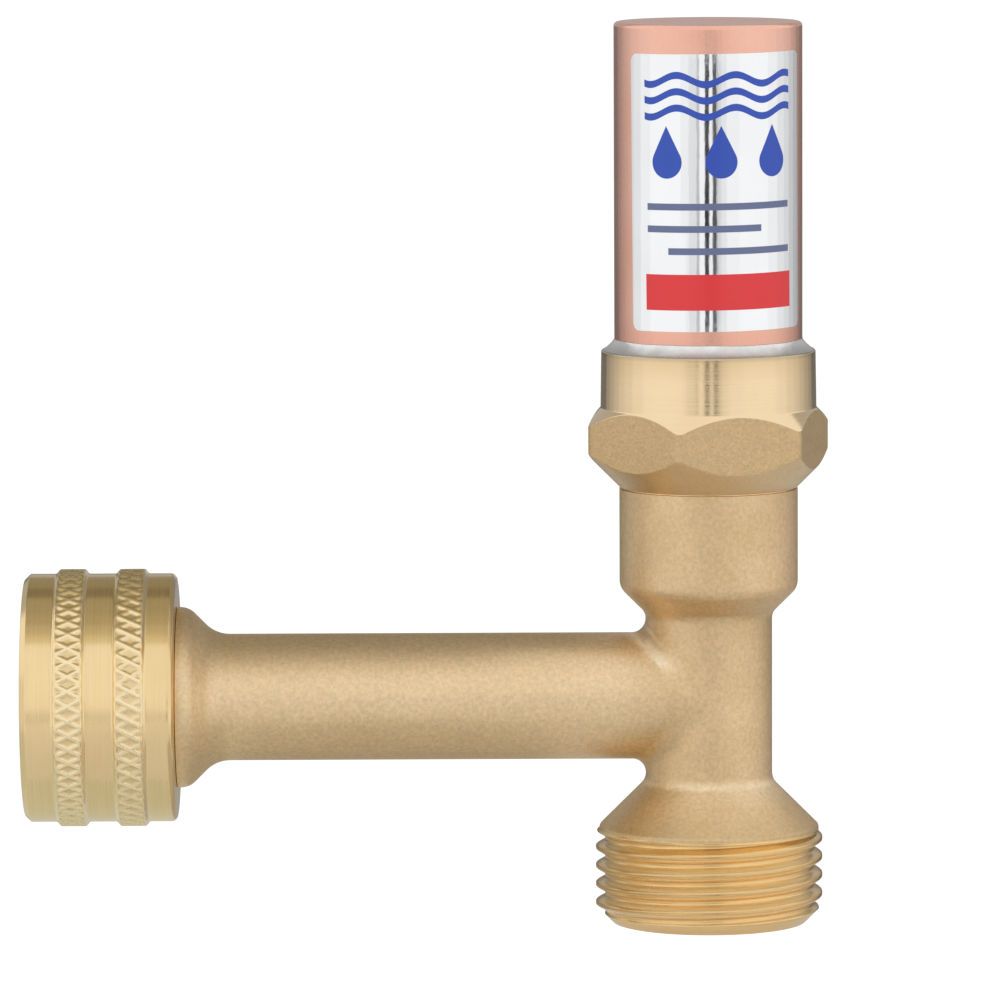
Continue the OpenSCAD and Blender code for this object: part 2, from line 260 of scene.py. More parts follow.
def spun_on_arm(rows, roll):
    """Radius and reach turned about the arm: roll starts at the top and goes towards +Y."""
    return np.stack(
        [-rows[:, 1], rows[:, 0] * np.sin(roll), ARM_Z + rows[:, 0] * np.cos(roll)], -1
    )


def skin(name, patches):
    """One closed mesh from grids: (points, rows close up, columns close up, {mark: value per point}).

    Neighbouring points of a grid make four-cornered faces. Points that meet at seams and poles become one.
    """
    points, faces, marks, start = [], [], {}, 0
    for grid, rows_close, columns_close, values in patches:
        rows, columns = grid.shape[:2]
        i = np.arange(rows if rows_close else rows - 1)[:, None]
        j = np.arange(columns if columns_close else columns - 1)[None, :]
        here, below = i * columns, (i + 1) % rows * columns
        beside = (j + 1) % columns
        corners = [here + j, here + beside, below + beside, below + j]
        faces.append(np.stack(np.broadcast_arrays(*corners), -1).reshape(-1, 4) + start)
        points.append(grid.reshape(-1, 3))
        for mark, value in values.items():
            marks.setdefault(mark, []).append(np.broadcast_to(value, (rows, columns)).ravel())
        start += rows * columns
    mesh = bpy.data.meshes.new(name)
    mesh.from_pydata((np.concatenate(points) * MM).tolist(), [], np.concatenate(faces).tolist())
    for mark, values in marks.items():
        layer = mesh.attributes.new(mark, "FLOAT", "POINT")
        layer.data.foreach_set("value", np.concatenate(values).astype(np.float32))
    work = bmesh.new()
    work.from_mesh(mesh)
    bmesh.ops.remove_doubles(work, verts=work.verts, dist=2e-7)
    bmesh.ops.recalc_face_normals(work, faces=work.faces)
    work.to_mesh(mesh)
    work.free()
    mesh.polygons.foreach_set("use_smooth", np.ones(len(mesh.polygons), bool))
    mesh.update()
    return mesh


def put(mesh, node, body, finish):
    """Stands a dressed piece in the place of its CAD node."""
    piece = bpy.data.objects.new(mesh.name, mesh)
    bpy.context.scene.collection.objects.link(piece)
    mesh.materials.append(finish)
    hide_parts(node)
    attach(piece, body)


# Shapes

def thread_form(offset):
    """Height of a thread from 0 at its root to 1 at its crest, by the distance from the crest's middle:
    flat crest, flank at 30 degrees with both its edges eased, flat root."""
    t = np.clip((np.abs(offset) - THREAD_CREST / 2 + 0.05) / (THREAD_FLANK + 0.1), 0, 1)
    return 1 - (0.5 * t + 0.5 * t * t * (3 - 2 * t))


def outlet_thread(angle, height):
    """Radius of the outlet: a right-hand helix whose crest rises one pitch per turn, cut off by the lead
    bevel below and by another of 45 degrees where the casting begins. The second result is painted shine: a
    painted highlight of 1 on the lower flank and 0.6 on the upper one, 0 at the root, and painted shade of -1
    on the crest."""
    turns = (height - LEFT_CREST_Z) / PITCH - (angle - np.pi) / (2 * np.pi)
    offset = turns - np.round(turns)
    crest = thread_form(offset * PITCH)
    flank = 4 * crest * (1 - crest)
    # painted highlight on both flanks, strongest on the lower one, and painted shade on the crest
    painted_shine = np.where(offset < 0, np.minimum(1.6 * flank, 1), 0.6 * flank) - np.exp(-(offset / 0.12) ** 2)
    bevel = np.interp(
        height,
        [0, THREAD_BEVEL, THREAD_END, THREAD_END + THREAD_BEVEL],
        [OUTLET_R, THREAD_R, THREAD_R, THREAD_R - THREAD_BEVEL]
    )
    threaded = THREAD_R - THREAD_DEPTH * (1 - crest)
    radius = np.minimum(bevel, threaded)
    radius = np.where(height > THREAD_END, np.maximum(radius, NECKING_R), radius)
    return radius, np.where(radius == threaded, painted_shine, 0)


def crotch_ball(facing):
    """Radius of the ball that rolls along the crotch, by the cosine of the azimuth from the arm's side. It
    grows towards the front and the back, where the tubes run into each other."""
    return CROTCH_R + CROTCH_GROWTH * (1 - smooth_step(0.15, 0.85, facing))


def crotch(azimuth, side):
    """Fillet left by a ball that rolls where two equal tubes cross. For each azimuth the ball's middle is at
    the same distance from both axes, and the arc runs from where it touches the column to where it
    touches the arm. `side` is 1 above the arm and -1 below it."""
    radius = crotch_ball(np.cos(azimuth))
    path = TUBE_R + radius
    zero = np.zeros_like(azimuth)
    ball = np.stack([-path * np.cos(azimuth), path * np.sin(azimuth), side * path * np.cos(azimuth)], -1)
    to_column = np.stack([np.cos(azimuth), -np.sin(azimuth), zero], -1)
    to_arm = np.stack([zero, -np.sin(azimuth), -side * np.cos(azimuth)], -1)
    t = np.linspace(0, 1, FILLET_ROWS)[:, None, None]
    ray = to_column * (1 - t) + to_arm * t
    return ball + radius[:, None] * ray / np.linalg.norm(ray, axis=-1, keepdims=True) + [0, 0, ARM_Z]


def tee_casting():
    """The tee as one skin. The column is spun about Z below and above the arm, the arm about X, and all three
    end on the two curves where the crotch fillet's ball touches them: at azimuth a the column ends
    (R + r) cos a from the arm's axis, and the arm as far from the column's, with R the tubes' radius and r
    the ball's. The bores end the same way with their own R and r = 0. Machined rows end in a rounding."""
    count = 192
    azimuth = around(count)
    facing = np.maximum(np.cos(azimuth), 0)
    angle = np.pi - azimuth
    path = TUBE_R + crotch_ball(facing)

    thread_foot, row_gap = 0.5, 0.092
    mouth = outline([
        (WATERWAY_R, ARM_Z - WATERWAY_R * facing, 0),
        (WATERWAY_R, MOUTH_DEPTH + MOUTH_R - WATERWAY_R, 0.4),
        (MOUTH_R, MOUTH_DEPTH, 0.3),
        (MOUTH_R, 0, 0.25),
        (OUTLET_R, 0, 0.12),
        (OUTLET_R + thread_foot, thread_foot, 0)
    ], count, closed=False)
    necking_top = CONE_SUM - NECKING_R
    height = np.arange(thread_foot, necking_top - 0.35, row_gap)[1:, None]
    radius, painted_shine = outlet_thread(angle[None], height)
    thread = np.stack([radius, np.broadcast_to(height, radius.shape)], 1)
    cone = outline([
        (NECKING_R, necking_top - 0.3, 0),
        (NECKING_R, necking_top, 0.5),
        (TUBE_R, CONE_SUM - TUBE_R, 2),
        (TUBE_R, ARM_Z - path * facing, 0)
    ], count, steps=8, room=0.96, closed=False)
    cone = stretch_to(cone[:-1], cone[-1])
    lower = np.concatenate([mouth, thread, cone])
    machined = np.concatenate([
        np.ones(len(mouth)), 1 - smooth_step(11.2, 11.5, height[:, 0]), np.zeros(len(cone))
    ])[:, None]
    painted_shine = np.concatenate([np.zeros(mouth[:, 0].shape), painted_shine, np.zeros(cone[:, 0].shape)])
    # painted shade low on the outlet's cone and a painted highlight band near its top, by height
    cone_painted_light = np.interp(lower[:, 1], CONE_PAINTED_LIGHT_Z, CONE_PAINTED_LIGHT) * (1 - machined)

    rim_foot = SOCKET_TOP - 2
    bore = outline([
        (WATERWAY_R, ARM_Z + WATERWAY_R * facing, 0),
        (WATERWAY_R, SOCKET_FLOOR, 0.2),
        (SOCKET_BORE_R, SOCKET_FLOOR, 0.1),
        (SOCKET_BORE_R, SOCKET_TOP, 0.2),
        (SOCKET_R, SOCKET_TOP, 0.06),
        (SOCKET_R, rim_foot, 0)
    ], count, closed=False)
    socket = outline([
        (SOCKET_R, rim_foot, 0),
        (SOCKET_R, SOCKET_CONE_TOP, 2),
        (TUBE_R, SOCKET_CONE_FOOT, 1.6),
        (TUBE_R, ARM_Z + path * facing, 0)
    ], count, steps=8, room=0.96, closed=False)
    socket = stretch_to(socket[1:-1], socket[-1])
    upper = np.concatenate([bore, socket])
    bored = (np.arange(len(upper)) < len(bore) - 4).astype(float)[:, None]
    # painted shade under the socket's cone at the sides and back, turning to a faint painted highlight at the
    # front
    socket_painted_light = np.interp(upper[:, 1], SOCKET_PAINTED_LIGHT_Z, SOCKET_PAINTED_LIGHT) * (1 - 1.6 * facing) * (1 - bored)

    roll = around(count)
    crossing = np.abs(np.cos(roll))
    shoulder_foot = SHOULDER_A - 0.25
    tail = outline([
        (WATERWAY_R, WATERWAY_R * crossing, 0),
        (WATERWAY_R, RIM_FRONT, 0.4),
        (RIM_R, RIM_FRONT, 0.5),
        (RIM_R, RIM_REAR, 0.4),
        (NECK_R, RIM_REAR, 0.1),
        (NECK_R, SHOULDER_A, 0.1),
        (SHOULDER_R, SHOULDER_A, 0.06),
        (SHOULDER_R, shoulder_foot, 0)
    ], count, closed=False)
    arm = outline([
        (SHOULDER_R, shoulder_foot, 0),
        (SHOULDER_R, FLARE_END, 2.4),
        (TUBE_R, FLARE_START, 4),
        (TUBE_R, (TUBE_R + crotch_ball(crossing)) * crossing, 0)
    ], count, steps=8, room=0.96, closed=False)
    arm = stretch_to(arm[1:-1], arm[-1])
    branch = np.concatenate([tail, arm])
    turned = (np.arange(len(branch)) < len(tail) - 2).astype(float)[:, None]
    # painted shade under the arm near the column, and a painted highlight along its top where it meets the
    # crotch
    shade_below = (1 - smooth_step(6, 14, branch[:, 1])) * smooth_step(0.1, 0.6, -np.cos(roll))
    from_end = branch[:, 1] - arm[-1, 1]
    highlight_above = np.exp(-(from_end / 0.75) ** 2) * smooth_step(0.55, 0.75, np.cos(roll))
    arm_painted_light = (highlight_above - 0.6 * shade_below) * (1 - turned)

    # painted highlight along the middle of the upper crotch fillet, strongest where the arm's top meets the
    # column's side and fading towards the front and back
    half_turn = azimuth[np.abs(azimuth) <= np.pi / 2 + 1e-9]
    arm_side = np.cos(half_turn)
    highlight_middle = np.interp(arm_side, [0.4, 0.75], [0.6, 1.0])
    highlight_off = np.linspace(0, 1, FILLET_ROWS)[:, None] - highlight_middle
    painted_highlight = np.exp(-(highlight_off / 0.34) ** 2) * smooth_step(0.27, 0.64, arm_side)
    # the upper crotch fillet carries the painted highlight and the lower one a faint painted shade
    return skin("tee_casting", [
        (spun(lower, angle), False, True, {"machined": machined, "painted_shine": painted_shine, "painted_light": cone_painted_light}),
        (spun(upper, angle), False, True, {"machined": bored, "painted_shine": 0.0, "painted_light": socket_painted_light}),
        (spun_on_arm(branch, roll), False, True, {"machined": turned, "painted_shine": 0.0, "painted_light": arm_painted_light}),
        (crotch(half_turn, 1), False, False, {"machined": 0.0, "painted_shine": 0.0, "painted_light": painted_highlight}),
        (crotch(half_turn, -1), False, False, {"machined": 0.0, "painted_shine": 0.0, "painted_light": -0.1})
    ])


def grip_band(roll, reach, start, shift, cross):
    """Radius of a raised band with a diamond knurl: two families of ridges lean by equal angles to either
    side of the axis, one of them `cross` times as high, and a point is on the higher ridge's eased trapezoid
    or in the hollow between them. The other results mark the hollows, and a painted highlight on the band's
    slopes and the ridges."""
    along = reach - start
    inward = np.minimum(along, BAND_W - along)
    band = smooth_step(0, BAND_SLOPE, inward)
    window = smooth_step(KNURL_START, KNURL_FULL, inward)
    spacing = 2 * np.pi * (NUT_R + BAND_H) / RIDGES
    slide = (along - BAND_W / 2 + shift) * np.tan(RIDGE_LEAN) / spacing
    ridge = 0.0
    for lean, share in ((-1, 1.0), (1, cross)):
        turns = roll * RIDGES / (2 * np.pi) + lean * slide
        off = np.abs(turns - np.round(turns)) * spacing * np.cos(RIDGE_LEAN)
        ridge = np.maximum(ridge, share * (1 - smooth_step(*RIDGE_FLANK, off)))
    hollow = window * (1 - ridge)
    # painted highlight on the band's slopes and along the ridges
    painted_highlight = 4 * band * (1 - band) + 0.75 * window * ridge
    return NUT_R + BAND_H * band - KNURL_DEPTH * hollow, hollow, painted_highlight


def knurled_nut():
    """The nut as one closed ring: its section runs from the rear lip over the two grip bands to the mouth and
    back through the thread, and is turned about the arm. Bands and thread vary round the turn."""
    columns_per_ridge = 12
    count = RIDGES * columns_per_ridge
    roll = around(count)
    rear = outline([
        (LIP_R, LIP_FACE - 0.3, 0),
        (LIP_R, NUT_REAR, 0.3),
        (NUT_R, NUT_REAR, 0.7),
        (NUT_R, BAND_STARTS[0] - 0.3, 0)
    ], count, closed=False)
    bands, hollows, painted_highlights = [], [], []
    for start, shift, cross in zip(BAND_STARTS, KNURL_SHIFTS, CROSS_RIDGES):
        reach = start + np.linspace(-0.13, BAND_W + 0.13, 33)[:, None]
        radius, hollow, painted_highlight = grip_band(roll[None], reach, start, shift, cross)
        bands.append(np.stack([radius, np.broadcast_to(reach, radius.shape)], 1))
        hollows.append(hollow)
        painted_highlights.append(painted_highlight)
    mouth = outline([
        (NUT_R, BAND_STARTS[1] + BAND_W + 0.3, 0),
        (NUT_R, NUT_FRONT - 0.7, 0.2),
        (NUT_R - 0.7, NUT_FRONT, 0.2),
        (NUT_BORE_R + THREAD_DEPTH, NUT_FRONT, 0.15),
        (NUT_BORE_R + 0.3, NUT_FRONT - 0.8, 0)
    ], count, steps=3, closed=False)
    reach = np.arange(NUT_FRONT - 1.0, SEAT_FRONT + 0.4, -0.3)[:, None]
    turns = (reach - NUT_FRONT) / PITCH - roll[None] / (2 * np.pi)
    depth = smooth_step(SEAT_FRONT + 0.4, SEAT_FRONT + 1.4, reach) * THREAD_DEPTH
    bevel = np.maximum(NUT_BORE_R, NUT_BORE_R + reach - (NUT_FRONT - THREAD_DEPTH))
    groove = thread_form((turns - np.round(turns)) * PITCH) * depth
    radius = np.maximum(bevel, NUT_BORE_R + groove)
    thread = np.stack([radius, np.broadcast_to(reach, radius.shape)], 1)
    seat = outline([
        (NUT_BORE_R, SEAT_FRONT + 0.3, 0),
        (NUT_BORE_R, SEAT_FRONT, 0.08),
        (SEAT_R, SEAT_FRONT, 0.08),
        (SEAT_R, LIP_FACE, 0.2),
        (LIP_R, LIP_FACE, 0.1),
        (LIP_R, LIP_FACE - 0.25, 0)
    ], count, steps=2, closed=False)
    rows = np.concatenate([rear, *bands, mouth, thread, seat])
    smooth = [np.zeros(part[:, 0].shape) for part in (rear, mouth, thread, seat)]
    hollow = np.concatenate([smooth[0], *hollows, *smooth[1:]])
    painted_highlight = np.concatenate([smooth[0], *painted_highlights, *smooth[1:]])
    marks = {"hollow": hollow, "painted_highlight": painted_highlight}
    return skin("knurled_nut", [(spun_on_arm(rows, roll), True, True, marks)])


def hexagon_radius(angle):
    """Polar radius of a hexagon with rounded corners: half its width across flats over the cosine of the
    angle from the nearest flat's middle, and near a corner the far crossing of the ray with the corner's
    circle."""
    off = np.abs((angle - FIRST_FLAT + np.pi / 6) % (np.pi / 3) - np.pi / 6)
    reach = (FLAT_R - HEX_ROUND) / np.cos(np.pi / 6)
    tangent = np.arctan((FLAT_R - HEX_ROUND) * np.tan(np.pi / 6) / FLAT_R)
    from_corner = np.pi / 6 - off
    square = np.maximum(HEX_ROUND ** 2 - (reach * np.sin(from_corner)) ** 2, 0)
    return np.where(off < tangent, FLAT_R / np.cos(off), reach * np.cos(from_corner) + np.sqrt(square))


def hexagon_adapter():
    """The adapter as one closed ring turned about Z. Only the hexagon's rows vary round the turn: both its
    bevels lie on cones of 45 degrees, so each flat reaches higher and lower where the hexagon is narrower.
    The flats' rough rows end in the middle of their roundings, and the bevel under them is less rough."""
    count = 288
    angle = around(count)
    wide = hexagon_radius(angle)
    flat_top = CUP_FOOT + CUP_R - wide
    flat_foot = FOOT_TOP + wide - SOCKET_R
    flat_middle = (flat_top + flat_foot) / 2
    seam_foot, seam_top = 50, 51
    cup = outline([
        (ADAPTER_BORE_R, seam_top, 0),
        (ADAPTER_BORE_R, CUP_FLOOR, 0.2),
        (CUP_BORE_R, CUP_FLOOR, 0.1),
        (CUP_BORE_R, CUP_RIM, 0.12),
        (CUP_RIM_R, CUP_RIM, 0.22),
        (CUP_R, CUP_FOOT, 0.2),
        (wide, flat_top, 0.3),
        (wide, flat_middle, 0)
    ], count, closed=False)
    foot = outline([
        (wide, flat_middle, 0),
        (wide, flat_foot, 0.3),
        (SOCKET_R, FOOT_TOP, 0.05),
        (SOCKET_R - 0.03, SOCKET_TOP + 0.15, 0.03),
        (SOCKET_R - 0.3, SOCKET_TOP + 0.12, 0.03),
        (SOCKET_R - 0.3, SOCKET_TOP, 0.03),
        (SEAL_GROOVE_R, SOCKET_TOP, 0.1),
        (SEAL_GROOVE_R, SEAL_GROOVE_FOOT, 0.1),
        (SPIGOT_R, SEAL_GROOVE_FOOT, 0.15),
        (SPIGOT_R, SPIGOT_FOOT, 0.3),
        (ADAPTER_BORE_R, SPIGOT_FOOT, 0.2),
        (ADAPTER_BORE_R, seam_foot, 0)
    ], count, closed=False)
    rows = np.concatenate([cup, foot[1:]])
    half_corner, bevel_rows = 4, 14
    flat_end = len(cup) + half_corner
    cast = np.zeros(len(rows))
    cast[len(cup) - half_corner:flat_end] = 1
    cast[flat_end:flat_end + bevel_rows] = 0.6
    return skin("hexagon_adapter", [(spun(rows, angle), True, True, {"cast": cast[:, None]})])


def copper_tube():
    """A tube closed at the top: its section is turned about Z from the middle of the inner end to the middle
    of the outer end, where each row of points shrinks to one."""
    count = 192
    rows = outline([
        (0, CHAMBER_TOP, 0),
        (CHAMBER_R, CHAMBER_TOP, 0.9),
        (CHAMBER_R, CUP_FLOOR, 0.1),
        (COPPER_R, CUP_FLOOR, 0.1),
        (COPPER_R, COPPER_TOP, 0.5),
        (0, COPPER_TOP, 0)
    ], count, steps=6, closed=False)
    return skin("copper_tube", [(spun(rows, around(count)), False, True, {})])


def solder_ring():
    """Solder drawn up by the tube: a hollow quarter of an oval whose height and width wander a little round
    the turn with three cosines."""
    count = 192
    angle = around(count)
    wander = (np.cos(3 * angle + 0.4) + np.cos(5 * angle + 2.1) + np.cos(11 * angle + 4.0)) / 3
    t = np.radians(np.linspace(0, 90, 19))[:, None]
    foot_r = COPPER_R + 0.02
    width = (CUP_RIM_R - 0.08 - foot_r) * (0.98 + 0.02 * wander)
    height = SOLDER_H * (0.96 + 0.04 * wander)
    hollowness = 0.7
    curve = np.stack([
        foot_r + width * (1 - np.sin(t)) ** hollowness,
        CUP_RIM + height * (1 - np.cos(t)) ** hollowness
    ], 1)
    inside = np.stack(np.broadcast_arrays(foot_r + 0 * angle, CUP_RIM + 0 * angle))[None]
    return skin("solder_ring", [(spun(np.concatenate([curve, inside]), angle), True, True, {})])


def foil_label():
    """A film with rounded corners wrapped round the tube: across and up are lengths on the flat film, turned
    by a small tilt, and across over the radius is the angle round the tube. An outer and an inner sheet
    are joined by the strip along their edges."""
    outer_r = LABEL_R + LABEL_THICK
    edge = 1 - np.geomspace(5e-4, 0.08, 12)
    span = np.unique(np.concatenate([np.linspace(-1, 1, 61), edge, -edge]))
    across = span * LABEL_W / 2
    inset = np.maximum(LABEL_ROUND - (LABEL_W / 2 - np.abs(across)), 0)
    tall = LABEL_H / 2 - LABEL_ROUND + np.sqrt(np.maximum(LABEL_ROUND ** 2 - inset ** 2, 0))
    up = span[:, None] * tall[None]
    across = np.broadcast_to(across, up.shape)

    def wrapped(radius, across, up):
        """Points of the film at a radius."""
        along = across * np.cos(LABEL_TILT) - up * np.sin(LABEL_TILT)
        rise = across * np.sin(LABEL_TILT) + up * np.cos(LABEL_TILT)
        angle = LABEL_TURN + along / outer_r
        middle = LABEL_FOOT + LABEL_H / 2
        return np.stack([radius * np.sin(angle), -radius * np.cos(angle), middle + rise], -1)

    def border(values):
        """Values along the four edges of a grid, once round."""
        return np.concatenate([values[0, :-1], values[:-1, -1], values[-1, :0:-1], values[:0:-1, 0]])

    rim_across, rim_up = border(across), border(up)
    rim = np.stack([wrapped(r, rim_across, rim_up) for r in (LABEL_R, outer_r)])
    return skin("foil_label", [
        (wrapped(outer_r, across, up), False, False, {"across": across, "up": up}),
        (wrapped(LABEL_R, across, up), False, False, {"across": across, "up": up}),
        (rim, False, True, {"across": rim_across[None], "up": rim_up[None]})
    ])


def rubber_washer():
    """A flat ring with eased edges, turned about the arm."""
    count = 128
    easing = 0.25
    rows = outline([
        (WASHER_BORE_R, WASHER_REAR, easing),
        (WASHER_R, WASHER_REAR, easing),
        (WASHER_R, WASHER_FRONT, easing),
        (WASHER_BORE_R, WASHER_FRONT, easing)
    ], count)
    return skin("rubber_washer", [(spun_on_arm(rows, around(count)), True, True, {})])


# Finishes

def new_finish(name, colour, metallic, roughness):
    """A material, its tree and its shader. The plain values stand for it where its patterns aren't read."""
    material = bpy.data.materials.new(name)
    material.use_nodes = True
    shader = material.node_tree.nodes["Principled BSDF"]
    shader.inputs["Base Color"].default_value = (*colour, 1)
    shader.inputs["Metallic"].default_value = metallic
    shader.inputs["Roughness"].default_value = roughness
    return material, material.node_tree, shader


def node(tree, kind, inputs, **settings):
    """A node with its settings, each input set to a number, a colour or another node's socket."""
    made = tree.nodes.new("ShaderNode" + kind)
    for key, value in settings.items():
        setattr(made, key, value)
    for key, value in inputs.items():
        if isinstance(value, bpy.types.NodeSocket):
            tree.links.new(value, made.inputs[key])
        else:
            made.inputs[key].default_value = value
    return made


def place(tree, stretch=None):
    """Object coordinates, drawn out along an axis where stretch is small."""
    where = node(tree, "TexCoord", {}).outputs["Object"]
    if stretch is None:
        return where
    return node(tree, "Mapping", {"Vector": where, "Scale": stretch}).outputs["Vector"]


def grain(tree, where, scale, detail=2.0, roughness=0.5, twist=0.0):
    """Soft noise from 0 to 1, drawn out into worms by a twist."""
    made = node(tree, "TexNoise", {
        "Vector": where, "Scale": scale, "Detail": detail, "Roughness": roughness, "Distortion": twist
    })
    return made.outputs["Fac"]


def mark(tree, name):
    """A value that the mesh carries at its points."""
    return node(tree, "Attribute", {}, attribute_name=name).outputs["Fac"]


def level(tree, value, low, high, to_low=0.0, to_high=1.0):
    """Value from low to high, carried over to another range and held at its ends."""
    made = node(tree, "MapRange", {
        "Value": value, "From Min": low, "From Max": high, "To Min": to_low, "To Max": to_high
    })
    return made.outputs["Result"]


def math(tree, operation, first, second=0.0, third=0.0):
    """One sum on two or three values."""
    made = node(tree, "Math", {0: first, 1: second, 2: third}, operation=operation)
    return made.outputs[0]


def tint(tree, share, first, second, blend="MIX"):
    """Colour between the first and the second by share."""
    first, second = ((*c, 1) if isinstance(c, tuple) else c for c in (first, second))
    made = node(tree, "Mix", {0: share, 6: first, 7: second}, data_type="RGBA", blend_type=blend)
    return made.outputs[2]


def shade(tree, colour, value, dark, light):
    """Colour times a grey that follows value."""
    grey = level(tree, value, 0.3, 0.7, dark, light)
    mixed = node(tree, "CombineColor", {0: grey, 1: grey, 2: grey}).outputs[0]
    return tint(tree, 1.0, colour, mixed, "MULTIPLY")


def relief(tree, height, depth, strength=1.0, over=None):
    """Bumps of the given depth in metres."""
    made = node(tree, "Bump", {"Height": height, "Distance": depth, "Strength": strength})
    if over is not None:
        tree.links.new(over, made.inputs["Normal"])
    return made.outputs["Normal"]


def wire(tree, shader, **sockets):
    """Links values to the shader's inputs."""
    for name, socket in sockets.items():
        tree.links.new(socket, shader.inputs[name.replace("_", " ")])


def cast_brass():
    """Shot-blasted casting with pits, warm patches, painted highlights and painted shade; its thread and
    faces are machined and golden, with painted shine on the thread.
    """
    material, tree, shader = new_finish("cast_brass", (0.62, 0.44, 0.23), 1.0, 0.42)
    where = place(tree)
    machined = mark(tree, "machined")
    fine = grain(tree, where, 2100, 4, 0.7)
    patches = grain(tree, where, 130, 3)
    warmth = grain(tree, where, 55, 2)
    cast = tint(tree, level(tree, patches, 0.35, 0.65), (0.71, 0.515, 0.28), (0.79, 0.58, 0.335))
    cast = tint(tree, level(tree, warmth, 0.45, 0.7, 0.0, 0.6), cast, (0.77, 0.535, 0.335))
    reach = node(tree, "SeparateXYZ", {"Vector": where}).outputs["X"]
    cast = tint(tree, level(tree, reach, -0.012, -0.005, 0.65, 0.0), cast, (0.90, 0.70, 0.43))
    # painted light: painted shade darkens the casting and painted highlights lighten it
    painted_light = mark(tree, "painted_light")
    cast = tint(tree, level(tree, painted_light, -1, 0, 0.8, 0.0), cast, (0.56, 0.41, 0.20))
    cast = tint(tree, level(tree, painted_light, 0, 1, 0.0, 0.9), cast, (0.98, 0.82, 0.57))
    cast = shade(tree, cast, fine, 0.83, 1.09)
    # painted shine on the thread: painted highlight nearly white on the lower flank, painted shade on the
    # crest
    painted_shine = mark(tree, "painted_shine")
    gold = tint(tree, level(tree, painted_shine, 0, 0.6), (0.87, 0.59, 0.275), (0.91, 0.675, 0.35))
    gold = tint(tree, level(tree, painted_shine, 0.6, 1), gold, (1.0, 0.96, 0.90))
    gold = tint(tree, level(tree, painted_shine, -1, 0, 1.0, 0.0), gold, (0.72, 0.48, 0.215))
    lines = grain(tree, place(tree, (60, 60, 6000)), 1.0, 2)
    gold = shade(tree, gold, lines, 0.9, 1.05)
    wire(tree, shader, Base_Color=tint(tree, machined, cast, gold))
    # painted highlights are made less metallic
    wire(tree, shader, Metallic=level(tree, painted_light, 0.3, 1, 1.0, 0.4))
    rough = level(tree, fine, 0.3, 0.7, 0.4, 0.5)
    rough = math(tree, "MULTIPLY", rough, level(tree, machined, 0, 1, 1.0, 0.55))
    wire(tree, shader, Roughness=rough)
    pits = math(tree, "MULTIPLY", fine, level(tree, machined, 0, 1, 1.0, 0.0))
    turning = math(tree, "MULTIPLY", lines, level(tree, machined, 0, 1, 0.0, 0.12))
    wire(tree, shader, Normal=relief(tree, math(tree, "ADD", pits, turning), 0.00004, 0.6))
    return material


def turned_brass():
    """Bright turned brass with fine rings from the tool; the knurl's hollows are darker and rougher, and a
    painted highlight lightens its ridges and the bands' slopes.
    """
    material, tree, shader = new_finish("turned_brass", (0.74, 0.57, 0.26), 1.0, 0.2)
    where = place(tree)
    hollow = mark(tree, "hollow")
    rings = grain(tree, place(tree, (7000, 60, 60)), 1.0, 3)
    patches = grain(tree, where, 90, 3)
    gold = tint(tree, level(tree, patches, 0.35, 0.65), (0.83, 0.62, 0.325), (0.88, 0.675, 0.37))
    gold = shade(tree, gold, rings, 0.95, 1.03)
    gold = tint(tree, hollow, gold, (0.79, 0.605, 0.33))
    # painted highlight on the knurl's ridges and the bands' slopes
    wire(tree, shader, Base_Color=tint(tree, mark(tree, "painted_highlight"), gold, (0.95, 0.80, 0.52)))
    rough = level(tree, rings, 0.3, 0.7, 0.15, 0.24)
    wire(tree, shader, Roughness=math(tree, "ADD", rough, level(tree, hollow, 0, 1, 0.0, 0.12)))
    wire(tree, shader, Normal=relief(tree, rings, 0.000004, 0.6))
    return material


def adapter_brass():
    """Satin turned cup and foot, and flats left with the grain of the casting."""
    material, tree, shader = new_finish("adapter_brass", (0.70, 0.55, 0.32), 1.0, 0.28)
    where = place(tree)
    cast = mark(tree, "cast")
    fine = grain(tree, where, 1700, 3, 0.55, 1.6)
    patches = grain(tree, where, 110, 3)
    rings = grain(tree, place(tree, (50, 50, 6500)), 1.0, 3)
    satin = tint(tree, level(tree, patches, 0.35, 0.65), (0.86, 0.655, 0.395), (0.90, 0.70, 0.44))
    satin = shade(tree, satin, rings, 0.98, 1.015)
    height = node(tree, "SeparateXYZ", {"Vector": where}).outputs["Z"]
    satin = tint(tree, level(tree, height, 0.065, 0.0678, 0.0, 0.5), satin, (0.70, 0.50, 0.26))
    satin = tint(tree, level(tree, height, 0.0675, 0.0681, 0.0, 0.7), satin, (0.45, 0.38, 0.28))
    rough_cast = shade(tree, (0.655, 0.472, 0.256), fine, 0.84, 1.08)
    wire(tree, shader, Base_Color=tint(tree, cast, satin, rough_cast))
    smooth = level(tree, rings, 0.3, 0.7, 0.1, 0.17)
    wire(tree, shader, Roughness=math(tree, "ADD", smooth, level(tree, cast, 0, 1, 0.0, 0.34)))
    pits = math(tree, "MULTIPLY", fine, cast)
    turning = math(tree, "MULTIPLY", rings, level(tree, cast, 0, 1, 0.12, 0.0))
    wire(tree, shader, Normal=relief(tree, math(tree, "ADD", pits, turning), 0.00009, 0.7))
    return material


